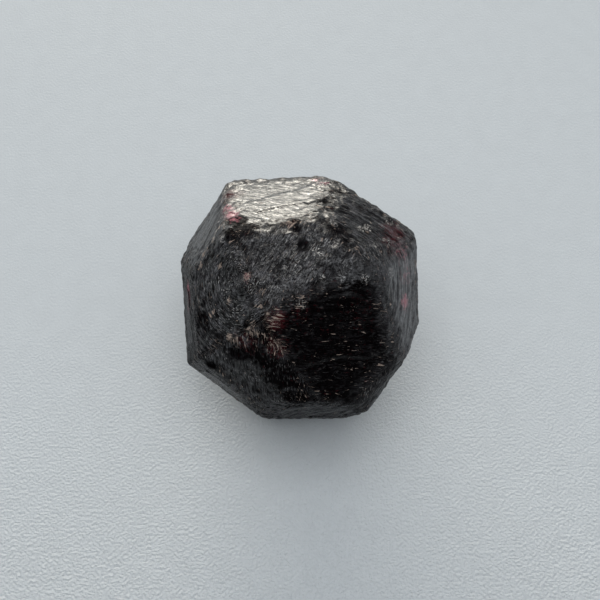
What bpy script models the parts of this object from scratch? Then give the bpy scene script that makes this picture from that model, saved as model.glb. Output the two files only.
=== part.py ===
# A loose garnet crystal: the 24-faced trapezohedron {211}, grown a little unevenly, with worn edges,
# growth steps, chips and pits. It lies on one of its faces, +Z up. Lengths here are in mm, because Blender's
# Booleans are steadier at that scale, and the last step turns the mesh to metres.
# Bearings are degrees anticlockwise from +X, seen from above. Rises are degrees above the horizontal.

import itertools
import math
import random

import bmesh
import bpy
import numpy as np
from mathutils import Matrix, Vector
from mathutils.bvhtree import BVHTree

MM_TO_M = 0.001

# ---- the crystal's form ----
FACE_DISTANCE = 12.2            # from the centre to each face, before uneven growth
TURN = math.radians(160.6)      # the crystal's turn about the vertical
REST_FACE = (2, -1, -1)         # Miller index of the face that it lies on
EDGE_DIRECTION = (0, 1, -1)     # crystal direction that lies along X before the turn

# How much further (+) or less far (-) some faces grew, in mm.
GROWTH = {
    (-1, 2, 1): -0.7,
    (-2, 1, -1): -0.1,
    (-1, 2, -1): -0.1,
    (-1, 1, -2): -0.4,
    (-2, -1, 1): -0.3,
    (-2, -1, -1): 0.2,
    (-1, -1, 2): 0.6,
    (-1, -2, 1): 1.5,
    (-1, -2, -1): 0.1,
    (1, -2, -1): -0.3,
    (1, -2, 1): -1.5,
    (1, -1, 2): -0.45,
    (1, 1, -2): -0.7,
    (1, 1, 2): -0.05,
    (1, 2, -1): 0.8,
    (1, 2, 1): 0.6,
}
TURNED_FACE = (-1, 1, 2)                    # the one face that isn't quite true
TURNED_BY = math.radians(4)

# ---- wear on the edges ----
EDGE_WEAR = 1.2                 # width of the round along an edge
WORN_EDGES = {                  # edges between two faces that are worn more
    ((-2, 1, 1), (-1, 2, 1)): 2.0,
    ((-2, 1, 1), (-1, 1, 2)): 3.4,
    ((-2, 1, -1), (-2, 1, 1)): 2.6,
    ((-2, -1, 1), (-2, 1, 1)): 3.4,
    ((-2, -1, 1), (-1, -1, 2)): 2.2,
    ((-2, -1, 1), (-1, -2, 1)): 2.4,
    ((-1, 1, 2), (-1, 2, 1)): 2.4,
    ((-2, -1, -1), (-2, -1, 1)): 3.2,
}
EDGE_FLAT = 0.7                 # about how wide each flat of a worn edge is
FEWEST_FLATS = 3

# ---- wear on the corners: the faces that meet there, and the radius of the round ----
WORN_CORNERS = [
    ([(-2, 1, 1), (-1, 1, 2), (-1, -1, 2), (-2, -1, 1)], 7.0),
    ([(-2, 1, 1), (-2, 1, -1), (-2, -1, -1), (-2, -1, 1)], 3.5),
    ([(-2, 1, 1), (-1, 2, 1), (-1, 1, 2)], 3.5),
    ([(-2, 1, 1), (-1, 2, 1), (-1, 2, -1), (-2, 1, -1)], 3.0),
]
CORNER_RINGS = [(0, 1), (0.25, 6), (0.45, 10)]  # share of the way to the faces, and flats in the ring

# ---- growth steps: the face is lowered beyond a wavy line ----
# face: [(heading in the face, offset of the line from the face's middle in mm, drop in mm)]
# A heading of 0 runs level to the right as the face is looked at, and 90 runs up the face.
STEPS = {
    (-1, 2, 1): [(84, 0.9, 0.13), (96, 2.5, 0.12), (-78, 2.4, 0.10), (12, 3.2, 0.12)],
    (-1, 1, 2): [(118, 0.2, 0.12), (112, 1.7, 0.12), (104, 3.1, 0.12), (-20, 3.6, 0.10)],
    (-2, 1, 1): [(200, 3.6, 0.08), (140, 3.9, 0.08)],
    (-2, 1, -1): [(160, 2.9, 0.10), (-110, 3.2, 0.12)],
    (-1, 2, -1): [(84, 1.3, 0.10), (88, 2.6, 0.10), (-94, 2.4, 0.10)],
    (-2, -1, 1): [(-118, 2.9, 0.11), (-124, 4.2, 0.12), (60, 3.2, 0.10)],
    (-2, -1, -1): [(-168, 2.9, 0.10), (12, 3.6, 0.10)],
    (-1, -1, 2): [(112, 0.9, 0.11), (116, 2.3, 0.11), (-66, 1.9, 0.10)],
    (-1, -2, 1): [(-30, 0.6, 0.12), (-36, 1.9, 0.12)],
    (-1, -2, -1): [(150, 1.1, 0.12), (146, 2.5, 0.12), (-30, 2.2, 0.10)],
    (-1, -1, -2): [(-80, 2.2, 0.12), (100, 2.4, 0.10)],
    (-1, 1, -2): [(86, 1.9, 0.12), (-92, 2.3, 0.12)],
    (1, -1, 2): [(-10, 1.4, 0.14), (-14, 2.9, 0.12), (150, 2.6, 0.10)],
    (1, 1, 2): [(60, 1.5, 0.14), (66, 3.0, 0.12)],
    (1, 2, 1): [(-90, 1.6, 0.14), (-84, 3.1, 0.12), (80, 2.8, 0.10)],
    (1, 2, -1): [(130, 1.3, 0.14), (124, 2.8, 0.12)],
    (1, 1, -2): [(-40, 1.8, 0.12), (150, 2.4, 0.12)],
    (1, -2, 1): [(20, 2.0, 0.12)],
    (2, 1, 1): [(0, 2.2, 0.14), (170, 2.6, 0.12)],
    (2, 1, -1): [(-100, 1.8, 0.12)],
}
STEP_WAVE = 0.22                # how far a step's line swings to each side
STEP_POINTS = 13
STEP_REACH = 15                 # half the length of a step's line
CUT_ABOVE = 3                   # how far a cutter stands above the face

# ---- chips and pits: (bearing, rise, length mm, width mm, depth mm, heading) ----
CHIPS = [
    (-104, 54, 3.0, 1.9, 0.42, 15),      # three at the corner of the top and front faces
    (-114, 44, 3.6, 1.7, 0.40, 30),
    (-101, 41, 2.6, 1.5, 0.34, 10),
    (-121, 32, 2.9, 1.6, 0.40, 0),
    (106, 81, 2.6, 1.6, 0.26, 70),       # where the top meets the bright back face
    (151, 62, 2.9, 2.2, 0.30, 45),
    (144, 50, 2.6, 1.4, 0.34, 100),
    (113, 23, 2.0, 1.3, 0.40, 0),        # nicks along the back edge
    (84, 22, 3.4, 1.6, 0.42, 10),
    (51, 35, 1.6, 1.1, 0.30, 60),
    (-67, 66, 1.9, 1.3, 0.30, 30),
    (-16, 26, 1.5, 1.1, 0.16, 80),
    (-172, 17, 3.4, 1.3, 0.26, 80),
    (-132, 17, 1.7, 0.9, 0.34, 90),
    (20, 37, 2.4, 1.2, 0.18, 20),
    (8, -34, 3.4, 2.2, 0.50, 20),        # on the sides that face away
    (60, -12, 3.0, 1.9, 0.46, 70),
    (118, -20, 3.2, 2.0, 0.44, 0),
    (172, -38, 3.2, 1.8, 0.44, 60),
    (-58, -36, 3.0, 1.7, 0.40, 0),
]
PITS = [
    (-31, 86, 1.2, 1.0, 0.50, 0),
    (88, 84, 0.9, 0.8, 0.40, 0),
    (-125, 76, 0.9, 0.6, 0.20, 40),
    (-142, 63, 1.0, 0.7, 0.20, 20),
    (-120, 62, 0.9, 0.6, 0.20, 60),
    (35, 67, 0.8, 0.7, 0.16, 0),
    (-92, 51, 1.0, 0.5, 0.16, 0),
    (92, 6, 1.2, 0.9, 0.30, 0),
    (32, 4, 1.1, 0.8, 0.26, 30),
]
BITE_ROUNDNESS = 3.0            # half height of a bite's ellipsoid over its depth
ROUGHNESS_OF_BITE = 0.07        # share of its size by which a bite's surface wanders

NICK_EVERY = 5.2                # about how far apart small nicks lie along the edges
NICK_LENGTH = (1.0, 2.2)
NICK_DEPTH = (0.08, 0.20)
NICK_WIDTH_SHARE = 0.7
NICK_CLEAR_OF_REST = 1.2        # no nick lies lower than this
SEED = 211

MERGE = 0.001                   # points of the uncut crystal closer than this are one
NUDGES = [(0, 0, 0), (0.01, 0, 0), (0, 0.02, 0), (0, 0, 0.03), (-0.04, 0.02, 0.01), (0.03, -0.05, 0.02)]
MOST_CUT = 30                   # mm3, more than any one cut takes away


def remove_all_objects():
    for obj in list(bpy.data.objects):
        bpy.data.objects.remove(obj, do_unlink=True)


def face_indices():
    """The 24 Miller indices of {211}, in a fixed order."""
    found = set()
    for places in set(itertools.permutations((2, 1, 1))):
        for signs in itertools.product((1, -1), repeat=3):
            found.add(tuple(p * s for p, s in zip(places, signs)))
    return sorted(found)


def face_normals():
    """Each face's outward direction, with REST_FACE straight down."""
    z = -Vector(REST_FACE).normalized()
    x = Vector(EDGE_DIRECTION).normalized()
    y = z.cross(x)
    to_world = Matrix.Rotation(TURN, 3, "Z") @ Matrix((x, y, z))
    normals = {index: (to_world @ Vector(index)).normalized() for index in face_indices()}
    normals[TURNED_FACE] = Matrix.Rotation(TURNED_BY, 3, "Z") @ normals[TURNED_FACE]
    return normals


def face_distance(index):
    return FACE_DISTANCE + GROWTH.get(index, 0)


def cut_off(bm, point, normal):
    """Cut the solid with a plane and close the cut."""
    geom = bm.verts[:] + bm.edges[:] + bm.faces[:]
    cut = bmesh.ops.bisect_plane(
        bm, geom=geom, dist=MERGE * 0.1, plane_co=point, plane_no=normal, clear_outer=True)
    edges = [e for e in cut["geom_cut"] if isinstance(e, bmesh.types.BMEdge)]
    if edges:
        bmesh.ops.contextual_create(bm, geom=edges)


def sharp_crystal(normals):
    """The crystal with sharp edges, its centre at the origin."""
    bm = bmesh.new()
    bmesh.ops.create_cube(bm, size=6 * FACE_DISTANCE)
    for index, normal in normals.items():
        cut_off(bm, normal * face_distance(index), normal)
    bmesh.ops.recalc_face_normals(bm, faces=bm.faces)
    return bm


def wear_edges(bm, normals):
    """Round every edge with a few flats. Returns each edge's ends and outward direction."""
    def index_of(face):
        return max(normals, key=lambda index: normals[index].dot(face.normal))

    bm.normal_update()
    edges = []
    for edge in bm.edges:
        a, b = (index_of(f) for f in edge.link_faces)
        width = WORN_EDGES.get(tuple(sorted((a, b))), EDGE_WEAR)
        edges.append((edge.verts[0].co.copy(), edge.verts[1].co.copy(), normals[a], normals[b], width))
    for start, end, n_a, n_b, width in edges:
        middle = (start + end) / 2
        half_angle = n_a.angle(n_b) / 2
        radius = width / (2 * math.sin(half_angle))
        centre = middle - (n_a + n_b).normalized() * radius / math.cos(half_angle)
        flats = max(FEWEST_FLATS, round(width / EDGE_FLAT))
        for k in range(flats):
            normal = n_a.slerp(n_b, (k + 0.5) / flats)
            cut_off(bm, centre + normal * radius, normal)
    return [(start, end, (n_a + n_b).normalized()) for start, end, n_a, n_b, _ in edges]


def wear_corner(bm, normals, faces, radius):
    """Round a corner with flats that touch a ball lying against its faces."""
    directions = np.array([normals[f] for f in faces])
    reach = np.array([face_distance(f) - radius for f in faces])
    centre = Vector(np.linalg.lstsq(directions, reach, rcond=None)[0])
    outward = sum((normals[f] for f in faces), Vector()).normalized()
    side = outward.orthogonal().normalized()
    to_faces = min(outward.angle(normals[f]) for f in faces)
    for share, count in CORNER_RINGS:
        for k in range(count):
            hinge = Matrix.Rotation(math.tau * k / count, 3, outward) @ side
            normal = Matrix.Rotation(to_faces * share, 3, hinge) @ outward
            cut_off(bm, centre + normal * radius, normal)


def face_axes(normal):
    """Level and upward directions in a face."""
    level = Vector((0, 0, 1)).cross(normal)
    if level.length < 0.01:
        level = Vector((1, 0, 0))
    level.normalize()
    return level, normal.cross(level)


def step_cutter(index, normal, heading, offset, drop, rng):
    """A slab over the part of a face beyond a wavy line."""
    level, up = face_axes(normal)
    angle = math.radians(heading)
    across = level * math.cos(angle) + up * math.sin(angle)
    along = normal.cross(across)
    middle = normal * face_distance(index)
    phases = [rng.uniform(0, math.tau) for _ in range(3)]
    outline = []
    for k in range(STEP_POINTS):
        s = (2 * k / (STEP_POINTS - 1) - 1) * STEP_REACH
        turns = s / STEP_REACH * math.tau
        wave = (math.sin(turns * 1.3 + phases[0]) + 0.7 * math.sin(turns * 2.9 + phases[1])
                + 0.4 * math.sin(turns * 5.3 + phases[2])) * STEP_WAVE
        outline.append(along * s + across * (offset + wave))
    far = across * 2 * STEP_REACH
    outline += [along * STEP_REACH + far, along * -STEP_REACH + far]
    bm = bmesh.new()
    base = [bm.verts.new(middle - normal * drop + p) for p in outline]
    face = bm.faces.new(base)
    grown = bmesh.ops.extrude_face_region(bm, geom=[face])
    tops = [v for v in grown["geom"] if isinstance(v, bmesh.types.BMVert)]
    bmesh.ops.translate(bm, verts=tops, vec=normal * (CUT_ABOVE + drop))
    bmesh.ops.recalc_face_normals(bm, faces=bm.faces)
    return bm


def bite_cutter(point, normal, length, width, depth, heading, rng, fineness):
    """A rough ellipsoid that takes a shallow bite of this length, width and depth."""
    level, up = face_axes(normal)
    angle = math.radians(heading)
    along = level * math.cos(angle) + up * math.sin(angle)
    across = normal.cross(along)
    height = depth * BITE_ROUNDNESS
    share = math.sqrt(1 - (1 - 1 / BITE_ROUNDNESS) ** 2)
    half = Vector((length / 2 / share, width / 2 / share, height))
    to_place = Matrix((along, across, normal)).transposed()
    bm = bmesh.new()
    bmesh.ops.create_icosphere(bm, subdivisions=fineness, radius=1)
    centre = point + normal * (height - depth)
    for vert in bm.verts:
        rough = 1 + rng.uniform(-ROUGHNESS_OF_BITE, ROUGHNESS_OF_BITE)
        vert.co = centre + to_place @ (vert.co * half * rough)
    bmesh.ops.recalc_face_normals(bm, faces=bm.faces)
    return bm


def object_from(bm, name):
    mesh = bpy.data.meshes.new(name)
    bm.to_mesh(mesh)
    bm.free()
    obj = bpy.data.objects.new(name, mesh)
    bpy.context.scene.collection.objects.link(obj)
    return obj


def triangulate(mesh):
    """Leave only triangles. Returns the solid's volume, or None where the mesh isn't closed."""
    bm = bmesh.new()
    bm.from_mesh(mesh)
    bmesh.ops.triangulate(bm, faces=bm.faces)
    bm.to_mesh(mesh)
    closed = len(bm.faces) > 0 and all(len(edge.link_faces) == 2 for edge in bm.edges)
    volume = bm.calc_volume() if closed else None
    bm.free()
    return volume


def take_away(obj, cutter_bm):
    """Subtract a cutter and drop it. A cut that opens the solid is made again a hair to one side."""
    cutter = object_from(cutter_bm, "cutter")
    cutter.hide_render = True
    cutter.display_type = "WIRE"
    old, old_volume = obj.data, triangulate(obj.data)
    for nudge in NUDGES:
        cutter.location = nudge
        cut = obj.modifiers.new("cut", "BOOLEAN")
        cut.operation = "DIFFERENCE"
        cut.solver = "EXACT"
        cut.object = cutter
        depsgraph = bpy.context.evaluated_depsgraph_get()
        result = bpy.data.meshes.new_from_object(obj.evaluated_get(depsgraph))
        obj.modifiers.clear()
        volume = triangulate(result)
        if volume is not None and old_volume - MOST_CUT < volume <= old_volume:
            obj.data = result
            result.name = obj.name
            bpy.data.meshes.remove(old)
            break
        bpy.data.meshes.remove(result)
    else:
        print("left out a cut that would not close")
    cutter_mesh = cutter.data
    bpy.data.objects.remove(cutter)
    bpy.data.meshes.remove(cutter_mesh)


def surface_point(tree, bearing, rise):
    """Where a ray from the centre meets the surface, and the mean outward direction there."""
    bearing, rise = math.radians(bearing), math.radians(rise)
    ray = Vector((math.cos(rise) * math.cos(bearing), math.cos(rise) * math.sin(bearing), math.sin(rise)))
    point, normal, _, _ = tree.ray_cast(ray * 4 * FACE_DISTANCE, -ray)
    return point, (normal * 2 + ray).normalized()


def edge_nicks(edges, rng):
    """Small nicks spaced along the edges, as (point, normal, length, width, depth, heading)."""
    nicks = []
    for start, end, normal in edges:
        length = (end - start).length
        for k in range(int(length / NICK_EVERY)):
            share = (k + rng.uniform(0.2, 0.9)) / max(1, int(length / NICK_EVERY))
            size, depth = rng.uniform(*NICK_LENGTH), rng.uniform(*NICK_DEPTH)
            heading = rng.uniform(0, 180)
            point = start.lerp(end, share)
            if point.z > NICK_CLEAR_OF_REST - FACE_DISTANCE:
                nicks.append((point, normal, size, size * NICK_WIDTH_SHARE, depth, heading))
    return nicks


def make_material():
    material = bpy.data.materials.new("garnet")
    material.use_nodes = True
    shader = material.node_tree.nodes["Principled BSDF"]
    shader.inputs["Base Color"].default_value = (0.020, 0.012, 0.013, 1)
    shader.inputs["Roughness"].default_value = 0.35
    shader.inputs["Metallic"].default_value = 0.0
    shader.inputs["IOR"].default_value = 1.79
    return material


def make_crystal():
    rng = random.Random(SEED)
    normals = face_normals()
    bm = sharp_crystal(normals)
    edges = wear_edges(bm, normals)
    for faces, radius in WORN_CORNERS:
        wear_corner(bm, normals, faces, radius)
    bmesh.ops.remove_doubles(bm, verts=bm.verts, dist=MERGE)
    bmesh.ops.recalc_face_normals(bm, faces=bm.faces)
    tree = BVHTree.FromBMesh(bm)
    crystal = object_from(bm, "garnet_crystal")
    triangulate(crystal.data)
    for index, steps in STEPS.items():
        for heading, offset, drop in steps:
            take_away(crystal, step_cutter(index, normals[index], heading, offset, drop, rng))
    for bearing, rise, length, width, depth, heading in CHIPS + PITS:
        point, normal = surface_point(tree, bearing, rise)
        fineness = 3 if length > 3.1 else 2
        take_away(crystal, bite_cutter(point, normal, length, width, depth, heading, rng, fineness))
    for point, normal, length, width, depth, heading in edge_nicks(edges, rng):
        on_surface, _, _, _ = tree.ray_cast(point + normal * FACE_DISTANCE, -normal)
        take_away(crystal, bite_cutter(on_surface, normal, length, width, depth, heading, rng, 2))
    return crystal


def place(crystal):
    """Rest the lowest face on z = 0, centre the box over the origin and turn mm to metres."""
    bm = bmesh.new()
    bm.from_mesh(crystal.data)
    low = Vector([min(v.co[i] for v in bm.verts) for i in range(3)])
    high = Vector([max(v.co[i] for v in bm.verts) for i in range(3)])
    centre = (low + high) / 2
    bmesh.ops.translate(bm, verts=bm.verts, vec=(-centre.x, -centre.y, -low.z))
    bmesh.ops.scale(bm, verts=bm.verts, vec=(MM_TO_M, MM_TO_M, MM_TO_M))
    bm.to_mesh(crystal.data)
    bm.free()


remove_all_objects()
garnet_crystal = make_crystal()
place(garnet_crystal)
garnet_crystal.data.materials.append(make_material())
print("garnet_crystal:", len(garnet_crystal.data.polygons), "triangles")
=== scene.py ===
# A worn garnet crystal lying on a painted sill, lit by a wide low window and a softbox overhead.
# Lengths in the dictionaries are in mm, angles in degrees. The window stands on the +Y side.

import itertools
import math

import bpy
import numpy as np
from mathutils import Matrix, Vector


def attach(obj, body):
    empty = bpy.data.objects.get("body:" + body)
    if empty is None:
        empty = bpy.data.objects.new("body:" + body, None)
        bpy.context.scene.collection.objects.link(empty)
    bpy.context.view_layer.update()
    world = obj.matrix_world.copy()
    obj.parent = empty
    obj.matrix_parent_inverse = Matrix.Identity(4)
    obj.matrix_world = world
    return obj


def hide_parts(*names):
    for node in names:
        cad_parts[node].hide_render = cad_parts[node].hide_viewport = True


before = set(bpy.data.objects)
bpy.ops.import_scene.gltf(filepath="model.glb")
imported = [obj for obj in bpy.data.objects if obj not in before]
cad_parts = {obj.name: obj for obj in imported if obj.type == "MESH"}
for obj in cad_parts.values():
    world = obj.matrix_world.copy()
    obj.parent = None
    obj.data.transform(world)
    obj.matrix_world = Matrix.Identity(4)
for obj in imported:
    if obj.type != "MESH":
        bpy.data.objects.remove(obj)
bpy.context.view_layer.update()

mm = 0.001


def deselectAll():
    bpy.ops.object.select_all(action="DESELECT")


def makeActive(thing):
    deselectAll()
    thing.select_set(True)
    bpy.context.view_layer.objects.active = thing


def hexColour(code):
    # sRGB hex to the linear colour that the shaders want
    channels = [int(code[i:i + 2], 16) / 255 for i in (1, 3, 5)]
    return [c / 12.92 if c <= 0.04045 else ((c + 0.055) / 1.055) ** 2.4 for c in channels] + [1]


def addNode(tree, kind, sockets=(), output=0, **settings):
    # adds a shader node with its settings. Its sockets take numbers or links, in order or by name
    made = tree.nodes.new("ShaderNode" + kind)
    for name, value in settings.items():
        setattr(made, name, value)
    for name, value in sockets.items() if isinstance(sockets, dict) else enumerate(sockets):
        if isinstance(value, bpy.types.NodeSocket):
            tree.links.new(value, made.inputs[name])
        else:
            made.inputs[name].default_value = value
    return made.outputs[output]


# Camera: a phone held above and in front of the stone

cameraSet = {
    "aim": (0.30, -0.29, 12.15),
    "distance": 103,
    "elevation": 63,
    "viewAngle": 35,
    "clipStart": 10,
}


def makeCamera():
    rise = math.radians(cameraSet["elevation"])
    back = Vector((0, -math.cos(rise), math.sin(rise)))
    place = (Vector(cameraSet["aim"]) + back * cameraSet["distance"]) * mm
    bpy.ops.object.camera_add(location=place, rotation=(math.pi / 2 - rise, 0, 0))
    camera = bpy.context.object
    camera.name = "camera"
    camera.data.angle = math.radians(cameraSet["viewAngle"])
    camera.data.clip_start = cameraSet["clipStart"] * mm
    bpy.context.scene.camera = camera


# The sill: matt paint with a fine orange-peel grain

sill = {
    "width": 2400,
    "paint": "#dadfe1",
    "grain": 0.30,            # width of the noise, whose bumps are then about 0.6 mm apart
    "grainDepth": 0.30,
    "smoothFrom": -32,        # toward the window the paint gets smoother from here
    "smoothTo": 4,            # and is smoothest from here on
    "smoothest": 0.1,         # share of the grain that is left there
    "mottle": 0.30 / 0.13,    # size of the faint lighter and darker patches
    "mottleFrom": 0.3,
    "mottleTo": 0.7,
    "darkest": 0.985,
    "lightest": 1.015,
    "roughness": 0.55,
}


def sillPaint():
    # emulsion paint laid on with a foam roller: pale, faintly blue, with small soft bumps
    material = bpy.data.materials.new("rolledEmulsionPaint")
    material.use_nodes = True
    tree = material.node_tree
    shader = tree.nodes["Principled BSDF"]
    place = addNode(tree, "TexCoord", output="Object")
    inMm = addNode(tree, "Mapping", {"Vector": place, "Scale": (1 / mm, 1 / mm, 1 / mm)})
    peel = addNode(tree, "TexNoise", {"Vector": inMm, "Scale": 1 / sill["grain"], "Detail": 2.0})
    mottle = addNode(tree, "TexNoise", {"Vector": inMm, "Scale": 1 / sill["mottle"], "Detail": 2.0})
    tint = addNode(tree, "MapRange", (mottle, sill["mottleFrom"], sill["mottleTo"],
                                      sill["darkest"], sill["lightest"]))
    colour = addNode(tree, "Mix", {"Factor": 1.0, "A": hexColour(sill["paint"]), "B": tint}, "Result",
                     data_type="RGBA", blend_type="MULTIPLY")
    towardWindow = addNode(tree, "SeparateXYZ", {"Vector": inMm}, "Y")
    share = addNode(tree, "MapRange", (towardWindow, sill["smoothFrom"], sill["smoothTo"],
                                       1.0, sill["smoothest"]))
    height = addNode(tree, "Math", (peel, share), operation="MULTIPLY")
    bump = addNode(tree, "Bump", {"Height": height, "Strength": 1.0, "Distance": sill["grainDepth"] * mm})
    tree.links.new(colour, shader.inputs["Base Color"])
    tree.links.new(bump, shader.inputs["Normal"])
    shader.inputs["Roughness"].default_value = sill["roughness"]
    return material


def makeSill():
    deselectAll()
    bpy.ops.mesh.primitive_plane_add(size=sill["width"] * mm)
    floor = bpy.context.object
    floor.name = "sill"
    floor.data.materials.append(sillPaint())


# Light: a wide window low beyond the stone, a softbox overhead, and a grey room, dark behind the viewer

window = {
    "place": (-180, 1000, 135),
    "size": (800, 268),
    "watts": 9.6,
    "colour": "#fff9ec",
}
softbox = {
    "place": (0, -40, 700),
    "size": (560, 560),
    "watts": 1.5,
    "colour": "#fbfdff",
}
room = {
    "ceiling": "#b6babf",
    "horizon": "#74787b",
    "ceilingFrom": 0.15,      # sine of the rise where the ceiling starts to show
    "ceilingFull": 0.60,
    "darkTo": -0.35,          # the room behind the viewer is dark up to here, and lit from lightFrom
    "lightFrom": 0.15,
    "darkSlope": 0.8,
}


def makeLight(name, look):
    # an area light that faces the stone
    place = Vector(look["place"]) * mm
    bpy.ops.object.light_add(type="AREA", location=place)
    light = bpy.context.object
    light.name = name
    light.data.shape = "RECTANGLE"
    light.data.size = look["size"][0] * mm
    light.data.size_y = look["size"][1] * mm
    light.data.energy = look["watts"]
    light.data.color = hexColour(look["colour"])[:3]
    light.rotation_euler = place.to_track_quat("Z", "Y").to_euler()
    light.visible_camera = False


def makeRoom():
    world = bpy.data.worlds.new("room")
    world.use_nodes = True
    bpy.context.scene.world = world
    tree = world.node_tree
    direction = addNode(tree, "TexCoord", output="Generated")
    axes = addNode(tree, "SeparateXYZ", {"Vector": direction}).node.outputs
    ceiling = addNode(tree, "MapRange", (axes["Z"], room["ceilingFrom"], room["ceilingFull"]),
                      interpolation_type="SMOOTHSTEP")
    colour = addNode(tree, "Mix", {"Factor": ceiling, "A": hexColour(room["horizon"]),
                                   "B": hexColour(room["ceiling"])}, "Result", data_type="RGBA")
    depth = addNode(tree, "Math", (axes["Z"], room["darkSlope"], axes["Y"]), operation="MULTIPLY_ADD")
    lit = addNode(tree, "MapRange", (depth, room["darkTo"], room["lightFrom"]),
                  interpolation_type="SMOOTHSTEP")
    background = tree.nodes["Background"]
    tree.links.new(colour, background.inputs["Color"])
    tree.links.new(lit, background.inputs["Strength"])


# The crystal: a trapezohedron with 24 faces, each with its own grain

crystal = {
    "node": "garnet_crystal",
    "centre": (-0.12, -0.20, 12.2),
    "turn": 160.6,
    "restFace": (2, -1, -1),
    "levelEdge": (0, 1, -1),
    "turnedFace": (-1, 1, 2),
    "turnedBy": 4,
    "voxel": 0.185,
    "calmEdge": 0.8,          # the grain fades out this near an edge
    "mixedEdge": 1.0,         # two faces' looks mix this near an edge
    "markedEdge": 1.4,        # an edge's flecks and dull patches reach this far
    "softEdge": 1.3,          # edges this near are smoothed
    "softening": 14,
    "wear": 0.3,              # most that a worn edge is nibbled, in patches of wearSize
    "wearSize": 0.7,
    "wearMiddle": 0.55,       # a higher middle takes more away and adds less
    "wearAbove": 0.8,         # the foot below this height stays true
    "combing": 0.26,          # most that the grain stands up and down
    "combWidth": 0.8,
    "combLength": 5,          # length of a growth line over its width
    "combMiddle": 0.62,
    "combAbove": 0.6,         # the combing starts at this height and is full combFade above it
    "combFade": 1.2,
    "grainShift": (40, 23),   # the grain moves this far from face to face, so that no two match
    "liftedShine": 0.6,
    "markFade": 1.25,         # a mark is gone at this share of its radius
}

# Each face: heading of its grain, the middle of the arcs that the grain follows or None, then shares for
# how high the surface is combed, how much of the fine grain is fibres, how scuffed it is (its grey is partly
# a painted satin sheen) and how deeply it is etched, then roughness and shine.
# A heading of 0 runs level to the right as the face is looked at, and 90 runs up the face.
# An etched face gives back less than a cut one, whose shine is 0.5.
faceLooks = {
    (-1, 2, 1): (132, None, 0.42, 0.84, 0.0, 0.25, 0.21, 0.50),
    (-1, 1, 2): (0, (2.7, -7.6, 16.8), 1.0, 1.0, 0.1, 0.8, 0.20, 0.21),
    (-2, 1, 1): (60, None, 0.15, 0.15, 0.2, 1.0, 0.26, 0.27),
    (-2, 1, -1): (0, (-5.3, -3.6, 11.2), 0.7, 0.7, 0.0, 1.3, 0.20, 0.24),
    (-1, 2, -1): (175, None, 0.4, 0.8, 0.3, 0.6, 0.28, 0.27),
    (-1, 1, -2): (-4, None, 0.4, 0.8, 0.1, 0.6, 0.34, 0.03),
    (-2, -1, 1): (-32, None, 0.06, 0.3, 0.0, 0.1, 0.10, 0.06),
    (-2, -1, -1): (-76, None, 0.35, 0.7, 0.0, 0.8, 0.22, 0.16),
    (-1, -1, 2): (20, (2.7, -7.6, 16.9), 0.4, 1.0, 0.9, 0.4, 0.30, 0.82),
    (-1, -2, 1): (55, None, 0.6, 1.0, 0.3, 0.6, 0.30, 0.06),
    (-1, -2, -1): (62, None, 0.8, 1.0, 0.0, 0.8, 0.28, 0.03),
    (-1, -1, -2): (70, None, 0.4, 0.8, 0.0, 0.8, 0.28, 0.04),
}
# the other faces have one look, and a heading that turns from face to face
otherLook = (None, 0.4, 0.6, 0.2, 0.55, 0.28, 0.24)
otherTurn = 67

# Marks are placed by their bearing, anticlockwise from +X, and their rise above the crystal's middle.
# Small pale chips and curled white shavings, each about a millimetre across, at (bearing, rise)
chips = {
    "radius": 0.55,
    "strength": 1.8,
    "places": [
        (165, 46), (174, 41), (-169, 52), (-178, 39), (-143, 63), (-120, 63), (-119, 58), (-143, 48),
        (-147, 37), (-84, 63), (-128, 38), (-116, 46), (-113, 42), (157, 47), (92, 79), (-16, 26),
    ],
}
shavings = {
    "radius": 0.6,
    "strength": 1.1,
    "places": [
        (-2, 73), (-14, 65), (23, 55), (24, 50), (5, 52), (-8, 53), (11, 45), (-18, 58),
        (-26, 55), (-10, 43), (35, 68), (28, 35), (-28, 79), (-56, 69), (-84, 61), (165, 46),
        (157, 47), (170, 55),
    ],
}

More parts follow.
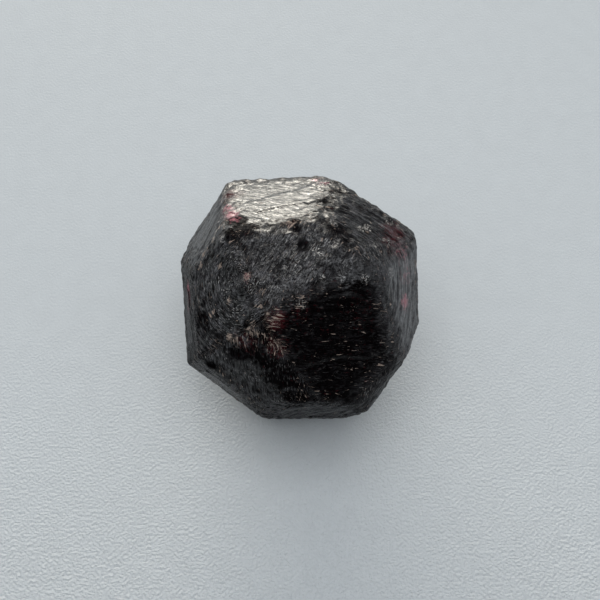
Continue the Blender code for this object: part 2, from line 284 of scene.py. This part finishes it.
# the other marks: (bearing, rise, radius, strength)
marks = {
    "pinkAndHighlight": [
        # the marks at bearings 79 and 74 are a painted highlight along the top edge, tinted pink
        (138, 43, 1.3, 1.1), (143, 50, 1.3, 1.3), (149, 56, 0.9, 1.2), (79, 33, 1.1, 0.8),
        (74, 38, 1.2, 0.8), (4, 37, 1.7, 0.7), (-4, 31, 1.6, 0.7), (-16, 26, 1.2, 1.2),
        (-176, 19, 1.4, 0.8), (-169, 13, 1.3, 0.7), (-142, 63, 0.7, 1.0),
    ],
    "red": [
        (127, 32, 1.7, 1.1), (20, 37, 1.8, 1.0), (10, 41, 2.0, 0.9), (-67, 66, 0.6, 1.0),
        (-101, 41, 1.6, 0.9), (-102, 54, 1.3, 1.2), (-40, 46, 2.8, 0.2), (-86, 57, 2.0, 0.3),
        (106, 79, 0.7, 0.9), (-170, 20, 1.6, 0.7), (-118, 40, 1.8, 0.6),
    ],
    "cream": [
        (-104, 54, 1.2, 1.2), (-114, 44, 1.8, 1.0), (-101, 41, 1.2, 1.1), (-122, 38, 1.1, 1.0),
        (106, 80, 0.8, 1.3), (-86, 60, 1.0, 1.3), (-58, 39, 2.4, 0.5), (-63, 30, 2.6, 0.35),
        (-44, 45, 1.5, 0.4), (-92, 50, 1.2, 0.5), (-160, 45, 2.0, 0.3), (150, 45, 1.6, 0.4),
        (51, 35, 0.5, 0.8),
        *((*place, chips["radius"], chips["strength"]) for place in chips["places"]),
    ],
    "curl": [(*place, shavings["radius"], shavings["strength"]) for place in shavings["places"]],
    # worn crowns of the corners, which shine though the face below them is dark
    "lift": [(-23, 60, 2.2, 1.0), (-35, 61, 1.7, 1.0), (-19, 51, 1.7, 1.0), (-8, 57, 1.8, 0.9)],
    # painted shade: hollows and the lee sides of chips, which give little back
    "dullShade": [
        (150, 58, 1.6, 1.0), (160, 65, 1.9, 1.1), (170, 62, 1.4, 0.9), (62, 58, 1.8, 0.6),
        (61, 45, 1.6, 0.6), (17, 69, 2.0, 0.8), (-97, 25, 2.7, 0.9), (-105, 33, 1.9, 0.9),
        (-90, 14, 2.2, 0.9), (-122, 31, 1.3, 1.0), (-117, 34, 1.3, 1.0), (-132, 17, 0.8, 1.0),
        (92, 79, 1.1, 0.9), (-30, 86, 0.9, 1.0), (90, 83, 0.7, 1.0), (-148, 31, 2.8, 0.5),
        (10, 50, 1.5, 0.5), (128, 31, 0.9, 0.8), (-106, 46, 1.8, 0.9), (-112, 37, 1.4, 0.9),
    ],
}


def faceNormals():
    indices = set()
    for places in set(itertools.permutations((2, 1, 1))):
        for signs in itertools.product((1, -1), repeat=3):
            indices.add(tuple(p * s for p, s in zip(places, signs)))
    up = -Vector(crystal["restFace"]).normalized()
    level = Vector(crystal["levelEdge"]).normalized()
    turn = Matrix.Rotation(math.radians(crystal["turn"]), 3, "Z") @ Matrix((level, up.cross(level), up))
    normals = {index: (turn @ Vector(index)).normalized() for index in sorted(indices)}
    turned = crystal["turnedFace"]
    normals[turned] = Matrix.Rotation(math.radians(crystal["turnedBy"]), 3, "Z") @ normals[turned]
    return normals


def faceAxes(normal):
    # level and upward directions in a face
    level = Vector((0, 0, 1)).cross(normal)
    if level.length < 0.01:
        level = Vector((1, 0, 0))
    level.normalize()
    return level, normal.cross(level)


def copyOfNode(nodeName, pieceName):
    piece = bpy.data.objects.new(pieceName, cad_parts[nodeName].data.copy())
    bpy.context.scene.collection.objects.link(piece)
    piece.data.name = pieceName
    piece.data.materials.clear()
    makeActive(piece)
    bpy.ops.object.mode_set(mode="EDIT")
    bpy.ops.mesh.select_all(action="SELECT")
    bpy.ops.mesh.remove_doubles(threshold=0.001 * mm)
    bpy.ops.mesh.customdata_custom_splitnormals_clear()
    bpy.ops.object.mode_set(mode="OBJECT")
    return piece


def applied(piece, kind, **settings):
    modifier = piece.modifiers.new(kind.lower(), kind)
    for name, value in settings.items():
        setattr(modifier, name, value)
    makeActive(piece)
    bpy.ops.object.modifier_apply(modifier=modifier.name)


def pointsOf(piece):
    points = np.empty(len(piece.data.vertices) * 3)
    piece.data.vertices.foreach_get("co", points)
    return points.reshape(-1, 3) / mm - np.array(crystal["centre"])


def heightsOver(points, normals):
    # how far each point lies out along each face's normal
    return points @ np.array([list(n) for n in normals.values()]).T


def nearestFaces(points, normals):
    # the faces in order of nearness to each point, and how far the point is from the edge of its face
    heights = heightsOver(points, normals)
    below = heights - heights.max(0)
    order = np.argsort(-below, axis=1)
    first = np.take_along_axis(below, order[:, :1], 1)[:, 0]
    second = np.take_along_axis(below, order[:, 1:2], 1)[:, 0]
    return order, first - second


def grainCoordinates(points, normal, look):
    # along and across the grain in mm, straight or in arcs
    level, up = (np.array(a) for a in faceAxes(normal))
    heading, middle = look[:2]
    if middle is None:
        a = math.radians(heading)
        along, across = level * math.cos(a) + up * math.sin(a), up * math.cos(a) - level * math.sin(a)
        return points @ along, points @ across
    x, y = (points - np.array(middle)) @ level, (points - np.array(middle)) @ up
    radius = np.hypot(x, y)
    return np.arctan2(y, x) * radius.mean(), radius


def layGrain(piece, normals):
    # each face's grain as UV maps, its look as attributes, and how high it is combed as a vertex group
    points = pointsOf(piece)
    order, edgeDistance = nearestFaces(points, normals)
    looks = [faceLooks.get(index, (otherTurn * number % 180, *otherLook))
             for number, index in enumerate(normals)]
    flat = np.zeros((len(points), 2))
    for number, normal in enumerate(normals.values()):
        mine = order[:, 0] == number
        along, across = grainCoordinates(points[mine], normal, looks[number])
        shiftAlong, shiftAcross = crystal["grainShift"]
        flat[mine] = np.stack([along + shiftAlong * number, across + shiftAcross * number], 1)
    corners = np.empty(len(piece.data.loops), int)
    piece.data.loops.foreach_get("vertex_index", corners)
    for name, stretch in (("grain", 1), ("combed", crystal["combLength"])):
        layer = piece.data.uv_layers.new(name=name)
        layer.data.foreach_set("uv", (flat[corners] / (stretch, 1)).ravel())

    # a face's look passes into its neighbour's over the worn edge between them
    shares = np.array([look[2:] for look in looks])
    own = (0.5 + 0.5 * np.clip(edgeDistance / crystal["mixedEdge"], 0, 1))[:, None]
    mixed = own * shares[order[:, 0]] + (1 - own) * shares[order[:, 1]]
    combed, streaky, scuffAndSheenShare, etched, roughness, shine = mixed.T
    inFace = np.clip(edgeDistance / crystal["calmEdge"], 0, 1)
    lift = marksMask(points, normals, marks["lift"])
    paintMask(piece, "roughness", roughness)
    paintMask(piece, "scuffAndSheenShare", scuffAndSheenShare)
    paintMask(piece, "etched", etched)
    paintMask(piece, "shine", shine + (crystal["liftedShine"] - shine) * lift)
    paintMask(piece, "streaky", streaky * inFace)

    height = points[:, 2] + crystal["centre"][2]
    combed = combed * inFace * np.clip((height - crystal["combAbove"]) / crystal["combFade"], 0, 1)
    group = piece.vertex_groups.new(name="combed")
    # in levels 0.01 apart
    for level in np.unique(np.round(combed, 2)):
        group.add(np.nonzero(np.abs(combed - level) < 0.005)[0].tolist(), float(level), "REPLACE")
    return points, edgeDistance


def paintMask(piece, name, values):
    attribute = piece.data.attributes.new(name, "FLOAT", "POINT")
    attribute.data.foreach_set("value", values.astype(np.float32))


def marksMask(points, normals, places):
    # the strength at the middle of each mark, fading to 0 at its rim
    mask = np.zeros(len(points))
    distances = heightsOver(points, normals).max(0)
    for bearing, rise, radius, strength in places:
        b, r = math.radians(bearing), math.radians(rise)
        ray = Vector((math.cos(r) * math.cos(b), math.cos(r) * math.sin(b), math.sin(r)))
        # the ray from the middle meets the nearest of the faces that it runs toward
        reach = min(d / ray.dot(n) for n, d in zip(normals.values(), distances) if ray.dot(n) > 0.1)
        away = np.linalg.norm(points - np.array(ray * reach), axis=1)
        mask = np.maximum(mask, strength * np.clip(crystal["markFade"] - away / radius, 0, 1))
    return mask


def cloudTexture(name, size, depth):
    texture = bpy.data.textures.new(name, "CLOUDS")
    texture.noise_scale = size
    texture.noise_depth = depth
    return texture


def makeCrystal():
    normals = faceNormals()
    piece = copyOfNode(crystal["node"], "etchedCrystal")
    applied(piece, "REMESH", mode="VOXEL", voxel_size=crystal["voxel"] * mm)
    print("crystal remeshed")

    # worn edges: rounded, then nibbled
    points = pointsOf(piece)
    _, edgeDistance = nearestFaces(points, normals)
    raised = points[:, 2] + crystal["centre"][2] > crystal["wearAbove"]
    group = piece.vertex_groups.new(name="edges")
    group.add(np.nonzero((edgeDistance < crystal["softEdge"]) & raised)[0].tolist(), 1.0, "REPLACE")
    applied(piece, "SMOOTH", factor=0.5, iterations=crystal["softening"], vertex_group="edges")
    applied(piece, "DISPLACE", texture=cloudTexture("wear", crystal["wearSize"] * mm, 3),
            texture_coords="LOCAL", mid_level=crystal["wearMiddle"], strength=crystal["wear"] * mm,
            vertex_group="edges")

    # growth lines, combed up and down along each face's grain
    points, edgeDistance = layGrain(piece, normals)
    piece.data.uv_layers.active = piece.data.uv_layers["combed"]
    applied(piece, "DISPLACE", texture=cloudTexture("combing", crystal["combWidth"], 2),
            texture_coords="UV", uv_layer="combed", mid_level=crystal["combMiddle"],
            strength=crystal["combing"] * mm, vertex_group="combed")
    piece.data.uv_layers.remove(piece.data.uv_layers["combed"])
    piece.vertex_groups.clear()
    print("edges worn and grain combed")

    paintMask(piece, "edge", np.clip(1 - edgeDistance / crystal["markedEdge"], 0, 1))
    for name in ("pinkAndHighlight", "red", "cream", "curl", "dullShade"):
        paintMask(piece, name, marksMask(points, normals, marks[name]))
    makeActive(piece)
    bpy.ops.object.shade_smooth()
    piece.data.materials.append(garnetMaterial())
    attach(piece, "root")
    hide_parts(crystal["node"])
    print("crystal finished:", len(piece.data.polygons), "faces")


garnet = {
    "body": "#070506",
    # each coat over the body: its colour, and how much it covers where it is full
    "red": ("#541d22", 0.6),
    # the scuffed grey is partly a painted satin sheen
    "scuffAndSheen": ("#77767a", 0.6),
    "scratched": ("#77767a", 0.7),
    # the nicks' pale grey is partly a painted glint
    "nickGlint": ("#b4b2b0", 1.0),
    "cream": ("#c4b0a2", 1.0),
    "pinkAndHighlight": ("#b0707a", 1.0),
    "curled": ("#d6d2cc", 1.0),
    "ior": 1.79,
    "meanShine": 0.25,
    "edgeRoughness": 0.08,    # added on edges
    "brokenRoughness": 0.35,  # added where the surface is broken
    "wander": 0.5,            # size of the noise that pushes outlines about, and how far it pushes
    "wanderReach": 0.9,
    "lineCore": 0.4,          # share of a thin line's reach where it is full
    "streakDepth": 0.07,
    "ledgeDepth": 0.45,
    "ledgeCount": 14,         # growth steps over the whole depth
    "etchDepth": 0.04,
    "fleckHeight": 0.03,
    "scratchDepth": 0.02,
    "gashClumping": 0.5,
    # flecks along the edges are partly painted glints
    "edgeFlecksAndGlints": 0.07,       # how much likelier flecks are on edges, and at cream marks
    "creamFlecks": 0.14,
    "chipChance": 0.6,
    "chipClumping": 0.3,
    "strokeClumping": 0.25,
    "raggedness": 1.6,        # pink and red follow the ragged noise this much, and the fibres this much
    "fibrousness": 1.2,
    "pinkPull": 0.6,
    "redPull": 0.7,
    "mostPink": 0.9,
    "scratchedShare": 0.5,    # how far a scratch or nick counts as broken
}

# Patterns: what each lies on, its width in mm, its length over that width, its turn from the grain in
# degrees, then detail, roughness and distortion. Scratches, nicks and fibres are finer in a real stone,
# and are drawn as coarse as they need to be to show.
patterns = {
    "streaks": ("grain", 0.22, 9, 0, 5, 0.6, 0.4),
    "ledges": ("grain", 1.3, 6, 0, 3, 0.5, 0.5),
    "etching": ("stone", 0.18, 1, 0, 4, 0.6, 0),
    "etchedPatches": ("stone", 2.2, 1, 0, 3, 0.5, 0),
    "grit": ("stone", 0.17, 1, 0, 2, 0.55, 0),
    "fibres": ("grain", 0.18, 8, 0, 3, 0.5, 0.6),
    "fibrousPatches": ("stone", 1.2, 1, 0, 3, 0.5, 0),
    "bands": ("grain", 0.32, 14, 0, 3, 0.55, 0.3),
    "cracks": ("grain", 0.9, 3, 0, 3, 0.5, 0.8),
    "crackedPatches": ("stone", 1.3, 1, 0, 2, 0.5, 0),
    "gashes": ("grain", 0.30, 4, 0, 2, 0.5, 0.6),
    "gashedPatches": ("stone", 1.8, 1, 0, 3, 0.5, 0),
    "hollows": ("bent", 0.5, 1, 0, 4, 0.5, 0),
    "scratchesAlong": ("grain", 0.28, 2.4 / 0.28, 3, 1, 0.5, 0),
    "scratchesUp": ("grain", 0.28, 2.4 / 0.28, 41, 1, 0.5, 0),
    "scratchesDown": ("grain", 0.28, 2.4 / 0.28, -49, 1, 0.5, 0),
    "scratchedPatches": ("stone", 1.1, 1, 0, 4, 0.5, 0),
    "nicksUp": ("grain", 0.13, 5, 25, 1, 0.5, 0),
    "nicksDown": ("grain", 0.13, 5, -55, 1, 0.5, 0),
    "nickedPatches": ("stone", 1.9, 1, 0, 4, 0.5, 0),
    "clumps": ("stone", 1.5, 1, 0, 2, 0.5, 0),
    "chips": ("bent", 0.2, 1, 0, 4, 0.7, 0),
    "strokes": ("grain", 0.2, 5, 3, 2, 0.5, 0.9),
    "curls": ("bent", 0.36, 1, 0, 1, 0.5, 0),
    "brokenCurls": ("stone", 0.3, 1, 0, 2, 0.5, 0),
    "ragged": ("bent", 0.35, 1, 0, 4, 0.5, 0),
    "blotches": ("stone", 0.5, 1, 0, 3, 0.6, 0),
}

# patterns that show as thin lines where the noise passes its middle, and how far from it they reach
lineReach = {
    "cracks": 0.012,
    "scratchesAlong": 0.022,
    "scratchesUp": 0.022,
    "scratchesDown": 0.022,
    "curls": 0.05,
}

# Ranges: where each thing starts and where it is full, then what it gives at the two ends
ranges = {
    "etchedPatches": (0.42, 0.60, 0, 1),
    "crackedPatches": (0.45, 0.55, 0, 1),
    "scratchedPatches": (0.45, 0.70, 0, 1),
    "nickedPatches": (0.42, 0.66, 0, 1),
    "brokenCurls": (0.42, 0.55, 0, 1),
    "bands": (0.2, 0.8, 0.05, 0.95),
    "blotches": (0.35, 0.65, 0.55, 1.45),
    "fibrous": (0.85, 1.05, 0, 1),
    "streakiest": (0.85, 1.0, 0, 1),
    "gashes": (0.78, 0.86, 0, 1),
    "dullShade": (0.75, 1.15, 0, 1),
    "scratchesWhereDull": (0, 1, 1, 0.2),
    "nicks": (0.645, 0.70, 0, 1),
    "nicksWhereDull": (0, 1, 1, 0.3),
    "nicksWhereStreaky": (0.85, 1.0, 1, 0.4),
    "chips": (0.86, 0.91, 0, 1),
    "strokes": (0.84, 0.88, 0, 1),
    "fleckShade": (0.3, 0.7, 0.3, 1),
    "curled": (0.2, 0.6, 0, 1),
    "pinkAndHighlight": (1.75, 2.15, 0, 1),
    "red": (1.65, 2.20, 0, 1),
    "scuffAndSheen": (0.35, 0.65, 0.1, 0.6),
    "contrast": (0.37, 0.63, -1, 1),
    "contrastOfEtched": (0, 1, 0.45, 1),
    "shineWhereDull": (0, 1, 1, 0.02),
    "shineInGashes": (0, 1, 1, 0.2),
    "shineOnEdges": (0.1, 0.6, 1, 0.4),
}


def garnetMaterial():
    # almandine garnet, a natural crystal with etched and scuffed faces: a near-black glassy body that
    # shines like satin, with pale powdery flecks where it is chipped, partly painted glints, and red where a
    # chip is thin
    # the grey of the scuffed faces is partly a painted satin sheen
    material = bpy.data.materials.new("etchedAlmandineGarnet")
    material.use_nodes = True
    tree = material.node_tree
    shader = tree.nodes["Principled BSDF"]

    # what patterns lie on: the stone in mm, the stone pushed about for ragged outlines, the faces' grain
    place = addNode(tree, "TexCoord", output="Object")
    stone = addNode(tree, "Mapping", {"Vector": place, "Scale": (1 / mm, 1 / mm, 1 / mm)})
    wander = addNode(tree, "TexNoise", {"Vector": stone, "Scale": 1 / garnet["wander"], "Detail": 3},
                     "Color")
    reach = garnet["wanderReach"]
    bent = addNode(tree, "VectorMath", (wander, (reach, reach, reach), stone), operation="MULTIPLY_ADD")
    grain = addNode(tree, "UVMap", uv_map="grain")
    bases = {"stone": stone, "bent": bent, "grain": grain}

    masks = {}
    for name in ("roughness", "shine", "etched", "streaky", "scuffAndSheenShare", "edge", "pinkAndHighlight", "red", "cream", "curl",
                 "dullShade"):
        masks[name] = addNode(tree, "Attribute", output="Fac", attribute_name=name)

    noise = {}
    for name, (base, width, length, turn, detail, roughness, distortion) in patterns.items():
        vector = bases[base]
        if base == "grain":
            vector = addNode(tree, "Mapping", {"Vector": grain, "Rotation": (0, 0, math.radians(turn)),
                                               "Scale": (1 / length, 1, 1)})
        noise[name] = addNode(tree, "TexNoise", {"Vector": vector, "Scale": 1 / width, "Detail": detail,
                                                 "Roughness": roughness, "Distortion": distortion})
    for name, reach in lineReach.items():
        away = addNode(tree, "Math", (noise[name], 0.5), operation="SUBTRACT")
        away = addNode(tree, "Math", (away,), operation="ABSOLUTE")
        noise[name] = addNode(tree, "MapRange", (away, reach * garnet["lineCore"], reach, 1, 0))
    for name in ("etchedPatches", "crackedPatches", "scratchedPatches", "nickedPatches", "brokenCurls",
                 "bands", "blotches"):
        noise[name] = addNode(tree, "MapRange", (noise[name], *ranges[name]))

    # pits and fibres, which the light catches or misses, and bands instead on the streakiest faces
    fibrous = addNode(tree, "Math", (noise["fibrousPatches"], masks["streaky"]), operation="ADD")
    fibrous = addNode(tree, "MapRange", (fibrous, *ranges["fibrous"]))
    streakiest = addNode(tree, "MapRange", (masks["streaky"], *ranges["streakiest"]))
    tone = addNode(tree, "Mix", {0: fibrous, 2: noise["grit"], 3: noise["fibres"]})
    tone = addNode(tree, "Mix", {0: streakiest, 2: tone, 3: noise["bands"]})

    # dark gashes, fine cracks, and dull hollows, whose dullness is painted shade
    gashes = addNode(tree, "Math", (noise["gashedPatches"], garnet["gashClumping"], noise["gashes"]),
                     operation="MULTIPLY_ADD")
    gashes = addNode(tree, "MapRange", (gashes, *ranges["gashes"]))
    gashes = addNode(tree, "Math", (gashes, masks["etched"]), operation="MULTIPLY")
    cracks = addNode(tree, "Math", (noise["cracks"], noise["crackedPatches"]), operation="MULTIPLY")
    dullShade = addNode(tree, "Math", (masks["dullShade"], noise["hollows"]), operation="ADD")
    dullShade = addNode(tree, "MapRange", (dullShade, *ranges["dullShade"]))

    # fine scratches in three directions, and small pale nicks lying two ways, part chip and part painted
    # glint in grey-white colour
    scratches = addNode(tree, "Math", (noise["scratchesUp"], noise["scratchesDown"]), operation="MAXIMUM")
    scratches = addNode(tree, "Math", (scratches, noise["scratchesAlong"]), operation="MAXIMUM")
    fewer = addNode(tree, "MapRange", (dullShade, *ranges["scratchesWhereDull"]))
    for share in (noise["scratchedPatches"], masks["etched"], fewer):
        scratches = addNode(tree, "Math", (scratches, share), operation="MULTIPLY")
    nicks = addNode(tree, "Math", (noise["nicksUp"], noise["nicksDown"]), operation="MAXIMUM")
    nicks = addNode(tree, "MapRange", (nicks, *ranges["nicks"]))
    fewerDull = addNode(tree, "MapRange", (dullShade, *ranges["nicksWhereDull"]))
    fewerStreaky = addNode(tree, "MapRange", (masks["streaky"], *ranges["nicksWhereStreaky"]))
    for share in (noise["nickedPatches"], masks["etched"], fewerDull, fewerStreaky):
        nicks = addNode(tree, "Math", (nicks, share), operation="MULTIPLY")

    # pale flecks: few on the faces, more along worn edges, many at the cream marks. Along the edges they are
    # partly chips and partly painted glints
    chance = addNode(tree, "Math", (masks["edge"], garnet["edgeFlecksAndGlints"]), operation="MULTIPLY")
    chance = addNode(tree, "Math", (masks["cream"], garnet["creamFlecks"], chance),
                     operation="MULTIPLY_ADD")
    chipsAndGlints = addNode(tree, "Math", (chance, garnet["chipChance"], noise["chips"]),
                      operation="MULTIPLY_ADD")
    chipsAndGlints = addNode(tree, "Math", (noise["clumps"], garnet["chipClumping"], chipsAndGlints),
                      operation="MULTIPLY_ADD")
    chipsAndGlints = addNode(tree, "MapRange", (chipsAndGlints, *ranges["chips"]))
    strokes = addNode(tree, "Math", (noise["strokes"], chance), operation="ADD")
    strokes = addNode(tree, "Math", (noise["clumps"], garnet["strokeClumping"], strokes),
                      operation="MULTIPLY_ADD")
    strokes = addNode(tree, "MapRange", (strokes, *ranges["strokes"]))
    flecksAndGlints = addNode(tree, "Math", (chipsAndGlints, strokes), operation="MAXIMUM")
    fleckShade = addNode(tree, "MapRange", (noise["etching"], *ranges["fleckShade"]))
    cream = addNode(tree, "Math", (flecksAndGlints, fleckShade), operation="MULTIPLY")

    # curled white shavings
    curls = addNode(tree, "MapRange", (masks["curl"], *ranges["curled"]))
    for share in (noise["curls"], noise["brokenCurls"]):
        curls = addNode(tree, "Math", (curls, share), operation="MULTIPLY")

    # pink and red patches with ragged, fibrous outlines, the pink partly a painted highlight
    ragged = addNode(tree, "Math", (noise["ragged"], garnet["raggedness"]), operation="MULTIPLY")
    ragged = addNode(tree, "Math", (noise["fibres"], garnet["fibrousness"], ragged),
                     operation="MULTIPLY_ADD")
    pinkAndHighlight = addNode(tree, "Math", (masks["pinkAndHighlight"], garnet["pinkPull"], ragged), operation="MULTIPLY_ADD")
    pinkAndHighlight = addNode(tree, "MapRange", (pinkAndHighlight, *ranges["pinkAndHighlight"]))
    mostPink = addNode(tree, "Math", (masks["pinkAndHighlight"], garnet["mostPink"]), operation="MINIMUM")
    pinkAndHighlight = addNode(tree, "Math", (pinkAndHighlight, mostPink), operation="MULTIPLY")
    red = addNode(tree, "Math", (masks["red"], garnet["redPull"], ragged), operation="MULTIPLY_ADD")
    red = addNode(tree, "MapRange", (red, *ranges["red"]))
    # grey scuffs along the streaks, partly a painted satin sheen
    scuffAndSheen = addNode(tree, "MapRange", (noise["streaks"], *ranges["scuffAndSheen"]))
    scuffAndSheen = addNode(tree, "Math", (scuffAndSheen, masks["scuffAndSheenShare"]), operation="MULTIPLY")

    colour = hexColour(garnet["body"])
    for name, share in (("red", red), ("scuffAndSheen", scuffAndSheen), ("scratched", scratches), ("nickGlint", nicks),
                        ("cream", cream), ("pinkAndHighlight", pinkAndHighlight), ("curled", curls)):
        code, cover = garnet[name]
        share = addNode(tree, "Math", (share, cover), operation="MULTIPLY")
        colour = addNode(tree, "Mix", {"Factor": share, "A": colour, "B": hexColour(code)}, "Result",
                         data_type="RGBA")
    tree.links.new(colour, shader.inputs["Base Color"])

    # broken places and edges are rougher
    powderAndGlints = addNode(tree, "Math", (flecksAndGlints, curls), operation="MAXIMUM")
    broken = addNode(tree, "Math", (scratches, nicks), operation="MAXIMUM")
    broken = addNode(tree, "Math", (broken, garnet["scratchedShare"]), operation="MULTIPLY")
    broken = addNode(tree, "Math", (broken, powderAndGlints), operation="MAXIMUM")
    rough = addNode(tree, "Math", (masks["edge"], garnet["edgeRoughness"], masks["roughness"]),
                    operation="MULTIPLY_ADD")
    rough = addNode(tree, "Math", (broken, garnet["brokenRoughness"], rough), operation="MULTIPLY_ADD")
    tree.links.new(rough, shader.inputs["Roughness"])

    # how much light each spot gives back
    contrast = addNode(tree, "MapRange", (tone, *ranges["contrast"]))
    etchedShare = addNode(tree, "MapRange", (masks["etched"], *ranges["contrastOfEtched"]))
    contrast = addNode(tree, "Math", (contrast, etchedShare, 1), operation="MULTIPLY_ADD")
    darkLines = addNode(tree, "Math", (cracks, gashes), operation="MAXIMUM")
    wornClumps = addNode(tree, "Math", (masks["edge"], noise["clumps"]), operation="MULTIPLY")
    shine = masks["shine"]
    # the dull patches take away nearly all shine: a painted shade
    for factor in (contrast, noise["blotches"],
                   addNode(tree, "MapRange", (dullShade, *ranges["shineWhereDull"])),
                   addNode(tree, "MapRange", (darkLines, *ranges["shineInGashes"])),
                   addNode(tree, "MapRange", (wornClumps, *ranges["shineOnEdges"]))):
        shine = addNode(tree, "Math", (shine, factor), operation="MULTIPLY")
    tree.links.new(shine, shader.inputs["Specular IOR Level"])
    # the mean, for a copy of the material that can't keep the link
    shader.inputs["Specular IOR Level"].default_value = garnet["meanShine"]

    # relief in mm: growth lines and steps, then pits, flecks and scratches
    ledges = addNode(tree, "Math", (noise["ledges"], 1 / garnet["ledgeCount"]), operation="SNAP")
    height = addNode(tree, "Math", (noise["streaks"], garnet["streakDepth"]), operation="MULTIPLY")
    height = addNode(tree, "Math", (ledges, garnet["ledgeDepth"], height), operation="MULTIPLY_ADD")
    height = addNode(tree, "Math", (height, masks["streaky"]), operation="MULTIPLY")
    pits = addNode(tree, "Math", (noise["etching"], noise["etchedPatches"]), operation="MULTIPLY")
    pits = addNode(tree, "Math", (pits, masks["etched"]), operation="MULTIPLY")
    scored = addNode(tree, "Math", (scratches, cracks), operation="MAXIMUM")
    for relief, depth in ((pits, garnet["etchDepth"]), (powderAndGlints, garnet["fleckHeight"]),
                          (scored, -garnet["scratchDepth"])):
        height = addNode(tree, "Math", (relief, depth, height), operation="MULTIPLY_ADD")
    bump = addNode(tree, "Bump", {"Height": height, "Strength": 1, "Distance": mm})
    tree.links.new(bump, shader.inputs["Normal"])
    shader.inputs["IOR"].default_value = garnet["ior"]
    shader.inputs["Metallic"].default_value = 0
    return material


bpy.context.scene.view_settings.view_transform = "Standard"
makeCamera()
makeSill()
makeLight("window", window)
makeLight("softbox", softbox)
makeRoom()
print("camera, sill and light are set")
makeCrystal()
